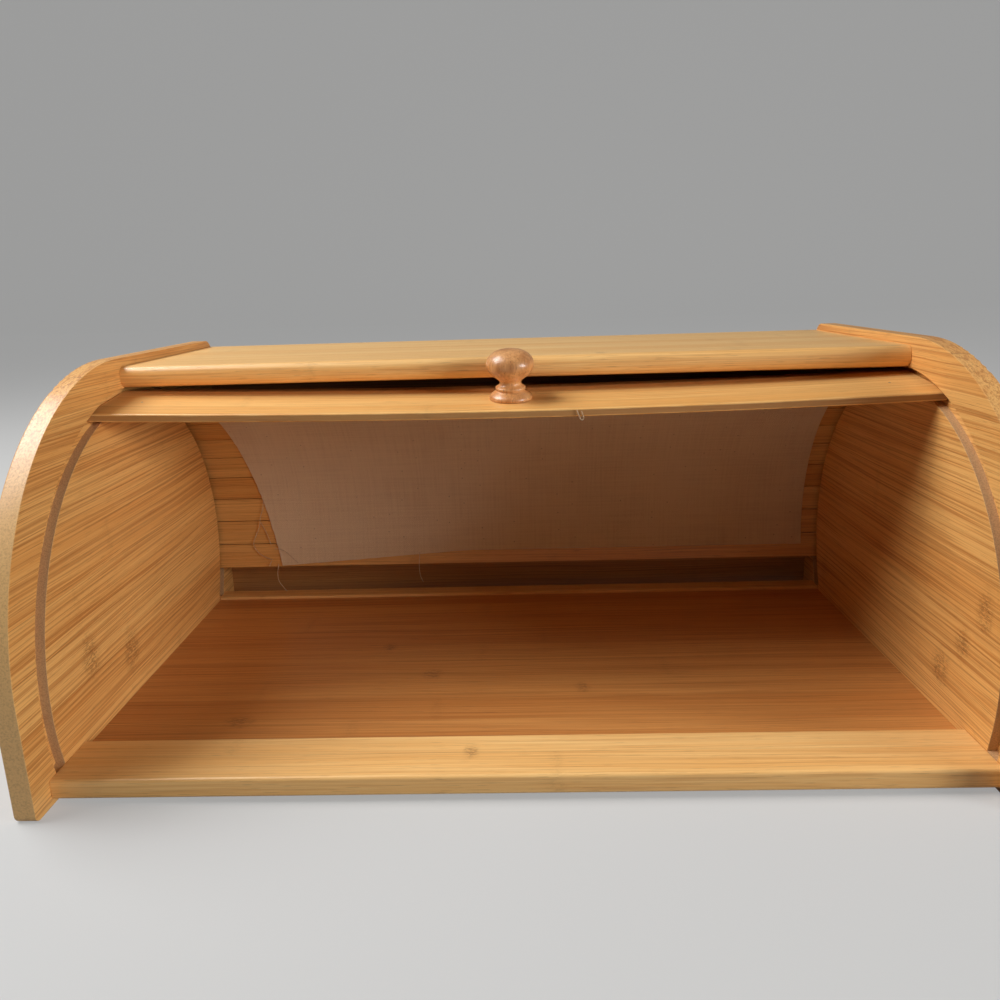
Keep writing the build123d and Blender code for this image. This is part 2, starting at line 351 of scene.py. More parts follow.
    def knuckle_marks(self, w: Wiring, place: Socket, own: Socket, chance: Socket) -> Socket:
        """Where the bamboo's joints show.

        Args:
            w: the material's nodes.
            place: place in the board.
            own: the same with each strip's own shift.
            chance: each strip's own number.

        Returns:
            A value socket from 0 to 1.
        """
        start = w.calc("MULTIPLY", chance, 5.0)
        turn = w.calc("MULTIPLY_ADD", w.parts(place)[0], 1 / (self.knuckle_spacing * MM), start)
        gap = w.calc("ABSOLUTE", w.calc("SUBTRACT", w.calc("FRACT", turn), 0.5))
        spacing = self.knuckle_spacing
        ragged = w.calc("MULTIPLY_ADD", w.noise(own, JOINT_EDGE, 2), self.mark_ragged / spacing, gap)
        marks = w.fade(ragged, self.mark_outer / spacing, self.mark_inner / spacing)
        marks = w.calc("MULTIPLY", marks, self.stray_marks)
        for knuckle in self.knuckles:
            centre = (knuckle.along * MM, knuckle.across * MM, 0.0)
            scale = (1 / (knuckle.length * MM), 1 / (knuckle.width * MM), 0.0)
            away = w.vector("MULTIPLY", w.vector("SUBTRACT", place, centre), scale)
            reach = w.calc("MULTIPLY_ADD", w.noise(own, KNUCKLE_EDGE, 2), 0.7, w.vector("LENGTH", away))
            marks = w.calc("MAXIMUM", marks, w.fade(reach, 1.25, 0.5))
        return marks

    def bare_wood(self, w: Wiring, place: Socket, finish: tuple[Socket, ...]) -> tuple[Socket, ...]:
        """Changes the finish where the wood is cut across its grain or milled; on the lead slat's front edge
        the darker colour is partly painted shade.

        Args:
            w: the material's nodes.
            place: place in the board.
            finish: the long grain's colour, roughness and relief.

        Returns:
            The colour, the roughness and the relief.
        """
        colour, rough, relief = finish
        if self.end_grain:
            normal = w.add("ShaderNodeTexCoord", {}).outputs["Normal"]
            facing = w.parts(w.turned(normal, self.lie))[0]
            share = w.fade(w.calc("ABSOLUTE", facing), 0.45, 0.95)
            speckle = w.fade(w.noise(place, SPECKLE, 2, 0.7), 0.42, 0.66)
            dots = w.tinted(linear(self.end_grain), self.dash, speckle, 0.25)
            colour = w.mix(w.calc("MULTIPLY", share, 0.88), colour, dots)
            rough = w.calc("MULTIPLY_ADD", share, 0.12, rough)
            relief = w.calc("MULTIPLY", relief, w.calc("MULTIPLY_ADD", share, -0.75, 1.0))
        if self.milled_and_shaded:
            # Milled faces, and the lead slat's front edge, which is painted darker partly as shade.
            share = w.attribute("milled_and_shaded").outputs["Fac"]
            pits = w.fade(w.noise(place, PITS, 2, 0.7), 0.4, 0.66)
            dots = w.tinted(linear(self.milled_and_shaded), self.dash, pits, 0.35)
            colour = w.mix(w.calc("MULTIPLY", share, self.milled_and_shaded_share), colour, dots)
            rough = w.calc("MULTIPLY_ADD", share, 0.3, rough)
        return colour, rough, relief


@dataclass(frozen=True)
class Beech:
    """Turned beech, lacquered, with the short dark flecks of its rays."""

    name: str
    pale: Colour
    deep: Colour
    fleck: Colour
    roughness: float
    coat: float
    coat_roughness: float = 0.08
    relief: float = 0.03

    def material(self) -> bpy.types.Material:
        """Makes the material.

        Returns:
            The finished material.
        """
        w = Wiring(bpy.data.materials.new(self.name))
        place = w.grain(Lie.LENGTHWISE)
        rings = w.noise(place, RINGS, 3, 0.55)
        rays = w.noise(place, RAYS, 2)
        flecks = w.fade(w.noise(place, FLECKS, 1), 0.6, 0.7)
        tone = w.calc("MULTIPLY_ADD", w.calc("SUBTRACT", rays, 0.5), 0.5, rings)
        colour = w.mix(w.fade(tone, 0.3, 0.7), linear(self.pale), linear(self.deep))
        colour = w.tinted(colour, self.fleck, flecks, 0.55)
        rough = w.calc("MULTIPLY_ADD", rays, 0.12, self.roughness)
        return w.surface(colour, rough, w.calc("SUBTRACT", rays, flecks), self.relief,
                         Coat_Weight=self.coat, Coat_Roughness=self.coat_roughness)


@dataclass(frozen=True)
class Canvas:
    """Unbleached cotton canvas in plain weave, with slubs and seed flecks."""

    name: str
    thread: Colour
    shade: Colour
    fleck: Colour
    pitch: float
    roughness: float = 0.92
    relief: float = 0.16

    def material(self) -> bpy.types.Material:
        """Makes the material.

        Returns:
            The finished material.
        """
        w = Wiring(bpy.data.materials.new(self.name))
        place = w.attribute("cloth").outputs["Vector"]
        turns = [w.calc("MULTIPLY", part, math.pi / (self.pitch * MM)) for part in w.parts(place)[:2]]
        waves = [w.calc("ABSOLUTE", w.calc("SINE", turn)) for turn in turns]
        over = w.calc("GREATER_THAN", w.calc("MULTIPLY", *[w.calc("SINE", t) for t in turns]), 0.0)
        inverse = w.calc("SUBTRACT", 1.0, over)
        weave = w.calc("ADD", w.calc("MULTIPLY", waves[0], over), w.calc("MULTIPLY", waves[1], inverse))
        slubs = w.calc("ADD", *[w.fade(w.noise(place, lie, 2), 0.3, 0.75) for lie in (WARP, WEFT)])
        cloud = w.noise(place, CLOUDS, 3)
        tone = w.calc("MULTIPLY_ADD", slubs, 0.2, w.calc("MULTIPLY", w.calc("SUBTRACT", 1.0, weave), 0.3))
        tone = w.calc("MULTIPLY_ADD", w.calc("SUBTRACT", cloud, 0.5), 0.6, tone)
        colour = w.mix(w.fade(tone, 0.05, 0.95), linear(self.thread), linear(self.shade))
        seeds = w.add("ShaderNodeTexVoronoi", {"Vector": place, "Scale": SEEDS}, voronoi_dimensions="2D")
        rare = w.add("ShaderNodeSeparateColor", {0: seeds.outputs["Color"]}).outputs[0]
        spots = w.calc("MULTIPLY", w.fade(seeds.outputs["Distance"], 0.06, 0.02), w.fade(rare, 0.7, 0.75))
        colour = w.tinted(colour, self.fleck, spots, 0.45)
        relief = w.calc("MULTIPLY_ADD", slubs, 0.3, weave)
        return w.surface(colour, self.roughness, relief, self.relief, Sheen_Weight=0.15,
                         Sheen_Roughness=0.6, Specular_IOR_Level=0.2)


@dataclass(frozen=True)
class Cotton:
    """Loose cotton thread."""

    name: str
    tone: Colour
    roughness: float = 0.9

    def material(self) -> bpy.types.Material:
        """Makes the material.

        Returns:
            The finished material.
        """
        w = Wiring(bpy.data.materials.new(self.name))
        marks = w.noise(w.grain(Lie.LENGTHWISE), FLUFF, 2)
        dull = linear([c * 0.8 for c in self.tone])
        colour = w.mix(w.fade(marks, 0.35, 0.65), linear(self.tone), dull)
        return w.surface(colour, self.roughness, Sheen_Weight=0.2, Specular_IOR_Level=0.2)


@dataclass(frozen=True)
class Metal:
    """Drawn steel with fine marks."""

    name: str
    tone: Colour
    roughness: float
    relief: float = 0.02

    def material(self) -> bpy.types.Material:
        """Makes the material.

        Returns:
            The finished material.
        """
        w = Wiring(bpy.data.materials.new(self.name))
        marks = w.noise(w.grain(Lie.LENGTHWISE), SCRATCHES, 2)
        dull = linear([c * 0.6 for c in self.tone])
        colour = w.mix(w.fade(marks, 0.45, 0.7), linear(self.tone), dull)
        rough = w.calc("MULTIPLY_ADD", marks, 0.25, self.roughness)
        return w.surface(colour, rough, marks, self.relief, Metallic=1.0)


@dataclass(frozen=True)
class Paper:
    """Matt grey paper of the studio sweep, raised to an even pale tone where it is seen."""

    name: str
    tone: Colour
    lift: float
    roughness: float = 0.85

    def material(self) -> bpy.types.Material:
        """Makes the material.

        Returns:
            The finished material.
        """
        w = Wiring(bpy.data.materials.new(self.name))
        lift = w.calc("MULTIPLY", w.seen(), self.lift)
        return w.surface(linear(self.tone), self.roughness, Emission_Color=linear((255, 255, 254)),
                         Emission_Strength=lift, Specular_IOR_Level=0.2)


LEFT_KNUCKLES = (Knuckle(-68, 43, 11, 16), Knuckle(-31, 29, 12, 15))
RIGHT_KNUCKLES = (Knuckle(-87, 64, 9, 14), Knuckle(-74, 45, 9, 12), Knuckle(-59, 27, 11, 13))
FLOOR_KNUCKLES = (
    Knuckle(-68, 15, 6, 8), Knuckle(-42, -18, 8, 9), Knuckle(31, -34, 6, 8), Knuckle(-125, -63, 10, 8),
)
BOARD_KNUCKLES = (Knuckle(-19, -95, 5, 9), Knuckle(43, 2, 4, 5))
SIDE = Bamboo("side_bamboo", Lie.FRONT_TO_BACK, (243, 188, 112), (222, 152, 78), vein=(172, 102, 42),
              strip=21.0, strip_start=14.0, strip_contrast=0.18, vein_strength=0.65, streak_strength=0.45,
              foot_strip=14.0, end_grain=(222, 178, 116), milled_and_shaded=(205, 168, 124))


class Finish(Enum):
    """The finishes of this object."""

    LEFT_SIDE = replace(SIDE, name="left_side_bamboo", knuckles=LEFT_KNUCKLES, seed=3.0)
    RIGHT_SIDE = replace(SIDE, name="right_side_bamboo", knuckles=RIGHT_KNUCKLES, seed=23.0)
    BOARD = Bamboo("board_bamboo", Lie.LENGTHWISE, (253, 208, 138), (241, 180, 102), vein=(208, 144, 76),
                   strip=19.0, strip_start=-96.0, strip_contrast=0.2, knuckles=BOARD_KNUCKLES, seed=11.0)
    BACK = Bamboo("back_bamboo", Lie.UPRIGHT, (216, 160, 96), (188, 128, 70), strip=19.0, seed=17.0)
    FLOOR = Bamboo("floor_bamboo", Lie.LENGTHWISE, (220, 155, 86), (196, 124, 60), vein=(152, 86, 38),
                   strip_start=-83.0, strip_contrast=0.3, knuckles=FLOOR_KNUCKLES, seed=5.0)
    # The slats and the lead slat are one bamboo: the slats are painted darker as shade, the lead slat paler
    # as light.
    SLAT_PAINTED_SHADE = Bamboo("slat_bamboo", Lie.OWN, (238, 186, 110), (216, 150, 74), vein=(172, 108, 50), seed=7.0)
    # The lead slat's front edge is painted darker, partly as the cut edge's own tone and partly as painted
    # shade.
    LEAD_PAINTED_LIGHT = Bamboo("lead_bamboo_painted_light", Lie.OWN, (253, 206, 132), (240, 174, 94), vein=(200, 132, 62),
                  milled_and_shaded=(132, 84, 42), milled_and_shaded_share=0.6, seed=7.0)
    BEECH = Beech("beech", (228, 166, 104), (190, 124, 68), (132, 82, 44), 0.3, 0.3)
    DOWEL = Beech("dowel_wood", (233, 206, 165), (214, 182, 138), (176, 138, 96), 0.6, 0.0)
    CANVAS = Canvas("canvas", (243, 220, 186), (214, 186, 152), (126, 92, 66), 0.62)
    THREAD = Cotton("cotton_thread", (232, 204, 168))
    STEEL = Metal("steel", (176, 172, 166), 0.3)
    PAPER = Paper("paper", (150, 150, 149), 0.32)


class Dresser:
    """Makes each finish once and puts it on pieces."""

    def __init__(self) -> None:
        """Starts with no finish made."""
        self.made: dict[Finish, bpy.types.Material] = {}

    def dress(self, piece: bpy.types.Object, finish: Finish) -> None:
        """Gives a piece its finish.

        Args:
            piece: the piece.
            finish: the finish, in place of what the piece has.
        """
        if finish not in self.made:
            self.made[finish] = finish.value.material()
        piece.data.materials.clear()
        piece.data.materials.append(self.made[finish])

    def place(self, piece: bpy.types.Object, finish: Finish, body: str, slot: str, node: str) -> None:
        """Dresses a piece, makes it ride on a body in place of a CAD node, and reports it.

        Args:
            piece: the piece.
            finish: its finish.
            body: the body's name.
            slot: not used.
            node: the node that it stands for.
        """
        self.dress(piece, finish)
        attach(piece, body)
        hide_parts(node)
        log.info("%s rides on %s", piece.name, body)


def linked_object(name: str, data: bpy.types.ID) -> bpy.types.Object:
    """Puts a new object in the scene.

    Args:
        name: the object's name.
        data: its mesh, curve, lamp or camera.

    Returns:
        The object.
    """
    item = bpy.data.objects.new(name, data)
    bpy.context.scene.collection.objects.link(item)
    return item


def finished_object(mesh: bmesh.types.BMesh, name: str, smooth_all: bool = False) -> bpy.types.Object:
    """Puts a mesh in the scene, smooth but for its sharp edges.

    Args:
        mesh: the mesh, which is freed.
        name: the piece's name.
        smooth_all: True for a soft piece with no sharp edges.

    Returns:
        The object.
    """
    worn_and_highlit = mesh.faces.layers.float.get("worn_and_highlit")
    for face in mesh.faces:
        face.smooth = True
    for edge in mesh.edges:
        if len(edge.link_faces) == 2 and not smooth_all:
            one, two = edge.link_faces
            edge.smooth = edge.calc_face_angle() < SMOOTH_ANGLE and not (worn_and_highlit and one[worn_and_highlit] != two[worn_and_highlit])
        edge.smooth = edge.smooth and not edge.is_boundary
    data = bpy.data.meshes.new(name)
    mesh.to_mesh(data)
    mesh.free()
    if "custom_normal" in data.attributes:
        data.attributes.remove(data.attributes["custom_normal"])
    return linked_object(name, data)


def merged_copy(node: str) -> bmesh.types.BMesh:
    """Clean mesh of a CAD node: its loose triangles merged and its flat faces whole.

    Args:
        node: the node's name.

    Returns:
        The mesh.
    """
    mesh = bmesh.new()
    mesh.from_mesh(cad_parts[node].data)
    for layer in ("worn_and_highlit", "milled_and_shaded"):
        mesh.faces.layers.float.new(layer)
    bmesh.ops.remove_doubles(mesh, verts=mesh.verts, dist=MERGE_DISTANCE)
    bmesh.ops.dissolve_limit(mesh, angle_limit=FLAT_ANGLE, verts=mesh.verts, edges=mesh.edges)
    return mesh


def soften(mesh: bmesh.types.BMesh, width: float, wanted: Callable[[Vector], bool]) -> None:
    """Rounds a board's sharp edges and marks the rounding, which the bamboo tints paler, partly as wear and
    partly as a painted highlight.

    Args:
        mesh: the board.
        width: the rounding's width in millimetres.
        wanted: says of an edge's middle whether the edge is rounded.
    """
    edges = [
        edge for edge in mesh.edges
        if len(edge.link_faces) == 2 and edge.calc_face_angle() > SMOOTH_ANGLE
        and wanted((edge.verts[0].co + edge.verts[1].co) / 2)
    ]
    made = bmesh.ops.bevel(mesh, geom=edges, offset=width * MM, offset_type="OFFSET", segments=2,
                           profile=0.5, affect="EDGES", clamp_overlap=True, material=-1)
    worn_and_highlit = mesh.faces.layers.float["worn_and_highlit"]
    for face in made["faces"]:
        face[worn_and_highlit] = 1.0


def slat_name(index: int) -> str:
    """Name of a slat's node and body; the lead slat is number 0."""
    return f"slat_{index:02d}" if index else "lead_slat"


@dataclass
class Track:
    """The line that the slats follow, as in the CAD: a front arc, a short flat run and a rear arc."""

    front_centre: tuple[float, float] = (6.0, 36.0)
    front_arc: float = 112.5
    flat_run: float = 4.0
    rear_arc: float = 94.5
    lead_width: float = 41.0
    lead_open: float = -40.466
    slat_pitch: float = 15.0035
    slat_width: float = 14.3035
    lead_front_face: float = 1.216
    lead_thickness: float = 3.8
    lead_tilt: float = 1.296

    def turn(self, place: float) -> float:
        """Angle in radians that the track has turned through since the top of its front arc."""
        return place / self.front_arc if place < 0 else max(0.0, (place - self.flat_run) / self.rear_arc)

    def point(self, place: float) -> tuple[float, float]:
        """Point (y, z) at a place on the track, in millimetres.

        Args:
            place: distance from the top of the front arc, towards the back.

        Returns:
            The point.
        """
        y, z = self.front_centre
        turn, radius = self.turn(place), self.front_arc
        if place > self.flat_run:
            z, radius = z + self.front_arc - self.rear_arc, self.rear_arc
        return y + min(max(place, 0.0), self.flat_run) + radius * math.sin(turn), z + radius * math.cos(turn)

    def slat_place(self, index: int) -> float:
        """Place of a slat's middle with the roll top open; the lead slat is number 0."""
        behind = self.lead_width + index * self.slat_pitch - self.slat_width / 2
        return self.lead_open + (behind if index else self.lead_width / 2)

    def slat_frame(self, index: int) -> Matrix:
        """A slat's own frame with the roll top open. The lead slat's Z is 0 on its outer face.

        Args:
            index: the slat's number.

        Returns:
            The matrix from the slat's frame in metres to the row frame.
        """
        place = self.slat_place(index)
        y, z = self.point(place)
        turned = Matrix.Rotation(-self.turn(place), 4, "X")
        own = Matrix.Translation((0.0, y * MM, z * MM)) @ turned
        if index:
            return own
        front_edge = Vector((0, -self.lead_width / 2 * MM, 0))
        tilted = Matrix.Rotation(-math.radians(self.lead_tilt), 4, "X")
        lifted = Matrix.Translation(front_edge + Vector((0, 0, self.lead_front_face * MM)))
        return own @ lifted @ tilted @ Matrix.Translation(-front_edge)

    def inward(self, index: int) -> Vector:
        """Direction from a slat to the inside of the roll top's curve."""
        return self.slat_frame(index).to_3x3() @ Vector((0, 0, -1))


@dataclass
class Sag:
    """How the open roll top hangs: its ends sink in the grooves, and its middle sags between them."""

    track: Track
    front: float = 3.2
    rear: float = 3.7
    settle: float = 0.9
    end_place: float = 78.0
    half_span: float = 188.0

    def depth(self, place: float) -> tuple[float, float]:
        """How far the roll top lies inward of the track at a place.

        Args:
            place: place on the track, in millimetres.

        Returns:
            How far its ends sink in the grooves, and how far its middle sags below them, in millimetres.
        """
        rear_place = self.track.lead_open + self.track.lead_width
        if place < rear_place:
            share = (place - self.track.lead_open) / self.track.lead_width
            return self.settle * share, self.front + (self.rear - self.front) * share
        share = min(1.0, (place - rear_place) / (self.end_place - rear_place))
        fading = (1 - share) ** 2 * (1 + 2 * share)
        return self.settle * fading, self.rear * fading

    def at(self, x: float, place: float) -> float:
        """How far the roll top hangs inward, in metres, at x in metres and a place on the track."""
        sunk, sag = self.depth(place)
        return (sunk + sag * (1 - (x / (self.half_span * MM)) ** 2)) * MM

    def seat(self) -> Matrix:
        """The knob's seat, on the lead slat's face as the sag lowers and leans it.

        Returns:
            The matrix from the seat to the lead slat's frame.
        """
        lean = math.atan((self.front - self.rear - self.settle) / self.track.lead_width)
        drop = self.at(0.0, self.track.slat_place(0))
        return Matrix.Translation((0, 0, -drop)) @ Matrix.Rotation(lean, 4, "X")


@dataclass
class Case:
    """The bamboo case: two side panels and the boards between them."""

    dresser: Dresser
    track: Track
    wall: float = 185.0
    groove_depth: float = 4.0
    groove_half: float = 3.5
    side_softness: float = 0.45
    board_softness: float = 0.3
    hole_reach: float = 4.5
    tolerance: float = 0.02
    groove_margin: float = 0.1
    dowels: tuple[tuple[float, float], ...] = (
        (18, 157), (103, 157), (-106, 6.75), (-90, 6.75), (96.75, 6.0), (121, 26.5), (121, 128),
    )
    sides: tuple[tuple[str, Finish], ...] = (
        ("left_side", Finish.LEFT_SIDE), ("right_side", Finish.RIGHT_SIDE),
    )
    boards: tuple[tuple[str, Finish, str], ...] = (
        ("top_board", Finish.BOARD, "board_bamboo"),
        ("front_rail", Finish.BOARD, "board_bamboo"),
        ("rear_rail", Finish.BOARD, "board_bamboo"),
        ("floor_panel", Finish.FLOOR, "floor_bamboo"),
        ("back_panel", Finish.BACK, "board_bamboo"),
    )

    def by_dowel(self, middle: Vector) -> bool:
        """Whether a point on a board's end is at the mouth of a dowel's hole."""
        return any(math.hypot(middle.y / MM - y, middle.z / MM - z) < self.hole_reach for y, z in self.dowels)

    def from_track(self, point: Vector) -> float:
        """Distance of a point from the middle of the groove, seen from the side.

        Args:
            point: the point, in metres.

        Returns:
            The distance in millimetres.
        """
        y, z = point.y / MM, point.z / MM
        front_y, front_z = self.track.front_centre
        if y < front_y:
            return abs(math.hypot(y - front_y, z - front_z) - self.track.front_arc)
        rear_z = front_z + self.track.front_arc - self.track.rear_arc
        rear_y = front_y + self.track.flat_run
        if y < rear_y:
            return abs(z - rear_z - self.track.rear_arc)
        return abs(math.hypot(y - rear_y, z - rear_z) - self.track.rear_arc)

    def build_side(self, node: str) -> bpy.types.Object:
        """Makes a side panel with a softened inner outline and groove.

        Args:
            node: the CAD node that it stands for.

        Returns:
            The piece.
        """
        mesh = merged_copy(node)
        inner, tolerance = self.wall * MM, self.tolerance * MM

        def wanted(middle: Vector) -> bool:
            """Whether the edge there lies on the inner face, away from the dowels."""
            return abs(abs(middle.x) - inner) < tolerance and not self.by_dowel(middle)

        soften(mesh, self.side_softness, wanted)
        milled_and_shaded = mesh.faces.layers.float["milled_and_shaded"]
        for face in mesh.faces:
            middle = face.calc_center_median()
            deep = inner + tolerance < abs(middle.x) < inner + (self.groove_depth + self.groove_margin) * MM
            if deep and self.from_track(middle) < self.groove_half + self.groove_margin:
                face[milled_and_shaded] = 1.0
        return finished_object(mesh, node + "_panel")

    def build_board(self, node: str) -> bpy.types.Object:
        """Makes a board with softened edges.

        Args:
            node: the CAD node that it stands for.

        Returns:
            The piece.
        """
        mesh = merged_copy(node)
        soften(mesh, self.board_softness, lambda middle: not self.by_dowel(middle))
        return finished_object(mesh, node + "_bamboo")

    def build(self) -> None:
        """Builds and dresses the sides and the boards."""
        for node, finish in self.sides:
            self.dresser.place(self.build_side(node), finish, "case", "side_bamboo", node)
        for node, finish, slot in self.boards:
            self.dresser.place(self.build_board(node), finish, "case", slot, node)


@dataclass
class RollTop:
    """The slats, with the lead slat's brads and screw, as they hang in the grooves."""

    dresser: Dresser
    track: Track
    sag: Sag
    slat_count: int = 12
    cuts: int = 24
    own_strip: float = 20.0
    lead_joint: float = -8.1
    lead_softness: float = 0.4
    softened_share: float = 0.88
    facing: float = 0.9

    def note_grain(self, mesh: bmesh.types.BMesh, index: int) -> None:
        """Notes where each point of a slat lies in its own grain.

        Args:
            mesh: the mesh in the row frame.
            index: the number of the slat.
        """
        grain = mesh.verts.layers.float_vector.new("grain")
        to_slat = self.track.slat_frame(index).inverted()
        # Each narrow slat lies in the middle of a strip of its own
        start = -self.lead_joint if index == 0 else (2 * index + 0.5) * self.own_strip
        for vert in mesh.verts:
            along, across, through = to_slat @ vert.co
            vert[grain] = Vector((along, across + start * MM, through))

    def mark_front_edge(self, mesh: bmesh.types.BMesh) -> None:
        """Marks the lead slat's front edge, which the lead's finish paints darker, partly as the cut edge's
        own tone and partly as painted shade.

        Args:
            mesh: the mesh in the row frame, flat.
        """
        forward = self.track.slat_frame(0).to_3x3() @ Vector((0, -1, 0))
        milled_and_shaded = mesh.faces.layers.float["milled_and_shaded"]
        for face in mesh.faces:
            if face.normal.dot(forward) > self.facing:
                face[milled_and_shaded] = 1.0

    def hang(self, mesh: bmesh.types.BMesh, index: int) -> None:
        """Cuts a slat's mesh along its length and bends it as the roll top sags.

        Args:
            mesh: the mesh in the row frame.
            index: the slat's number.
        """
        step = 2 * self.sag.half_span * MM / self.cuts
        for cut in range(1, self.cuts):
            x = -self.sag.half_span * MM + cut * step
            everything = mesh.verts[:] + mesh.edges[:] + mesh.faces[:]
            bmesh.ops.bisect_plane(mesh, geom=everything, dist=MERGE_DISTANCE, plane_co=(x, 0, 0),
                                   plane_no=(1, 0, 0))
        to_slat, inward = self.track.slat_frame(index).inverted(), self.track.inward(index)
        middle = self.track.slat_place(index)
        for vert in mesh.verts:
            along, across, _ = to_slat @ vert.co
            vert.co += inward * self.sag.at(along, middle + across / MM)

    def build_slat(self, index: int) -> bpy.types.Object:
        """Makes one slat.

        Args:
            index: the slat's number.

        Returns:
            The piece.
        """
        node = slat_name(index)
        mesh = merged_copy(node)
        if index == 0:
            self.mark_front_edge(mesh)
            inner = self.sag.half_span * self.softened_share * MM
            soften(mesh, self.lead_softness, lambda middle: abs(middle.x) < inner)
        self.note_grain(mesh, index)
        if self.track.slat_place(index) < self.sag.end_place:
            self.hang(mesh, index)
        return finished_object(mesh, node + "_bamboo")

    def build_fixing(self, node: str) -> bpy.types.Object:
        """Makes the brads or the screw, at the depth that the lead slat's sag gives.

        Args:
            node: the CAD node that it stands for.

        Returns:
            The piece.
        """
        mesh = merged_copy(node)
        if node == "knob_screw":
            own_frame = self.track.slat_frame(0)
            mesh.transform(own_frame @ self.sag.seat() @ own_frame.inverted())
        else:
            drop = self.sag.at(mesh.verts[:][0].co.x, self.track.slat_place(0))
            bmesh.ops.translate(mesh, verts=mesh.verts, vec=self.track.inward(0) * drop)
        return finished_object(mesh, node + "_steel")

    def build(self) -> None:
        """Builds and dresses the slats and the fixings."""
        for index in range(self.slat_count + 1):
            # The slats get the bamboo painted darker as shade, the lead slat the bamboo painted paler as
            # light.
            node, finish = slat_name(index), Finish.SLAT_PAINTED_SHADE if index else Finish.LEAD_PAINTED_LIGHT
            self.dresser.place(self.build_slat(index), finish, node, "slat_bamboo", node)
        for node in ("lead_slat_brads", "knob_screw"):
            self.dresser.place(self.build_fixing(node), Finish.STEEL, "lead_slat", "steel", node)


@dataclass
class Knob:
    """Turned beech knob: a bell foot, a bead, a neck and a flattened ball."""

    dresser: Dresser
    track: Track
    sag: Sag
    steps: int = 72
    outline: tuple[tuple[float, float], ...] = (
        (0.0, 0.0), (9.4, 0.0), (9.8, 0.2), (9.9, 0.75), (9.85, 1.4), (9.4, 2.1), (8.6, 2.75),
        (7.75, 3.3), (7.05, 3.75), (6.6, 4.05), (6.45, 4.2), (6.7, 4.45), (6.88, 4.8), (6.92, 5.2),
        (6.8, 5.65), (6.45, 5.95), (5.95, 6.2), (5.5, 6.5), (5.15, 6.95), (4.95, 7.5), (4.92, 8.0),
        (5.2, 8.55), (5.85, 9.2), (6.9, 10.0), (8.1, 10.95), (9.2, 12.05), (10.1, 13.25), (10.7, 14.4),
        (10.98, 15.6), (10.95, 16.7), (10.6, 17.95), (9.9, 19.2), (8.8, 20.4), (7.4, 21.4),
        (5.8, 22.15), (3.9, 22.6), (1.9, 22.78), (0.0, 22.8),
    )

    def build(self) -> None:
        """Spins the outline round the knob's axis and dresses it."""
        mesh = bmesh.new()
        verts = [mesh.verts.new((radius * MM, 0, height * MM)) for radius, height in self.outline]
        edges = [mesh.edges.new(pair) for pair in zip(verts, verts[1:])]
        bmesh.ops.spin(mesh, geom=verts + edges, cent=(0, 0, 0), axis=(0, 0, 1), angle=math.tau,
                       steps=self.steps, use_merge=True)
        bmesh.ops.remove_doubles(mesh, verts=mesh.verts, dist=MERGE_DISTANCE)
        bmesh.ops.recalc_face_normals(mesh, faces=mesh.faces)
        mesh.transform(self.track.slat_frame(0) @ self.sag.seat())
        piece = finished_object(mesh, "turned_knob")
        self.dresser.place(piece, Finish.BEECH, "lead_slat", "beech", "pull_knob")


@dataclass(frozen=True)
class Thread:
    """Loose thread at a cut edge of the canvas, by the points that it passes, in millimetres."""

    name: str
    slat: int
    points: tuple[tuple[float, float, float], ...]


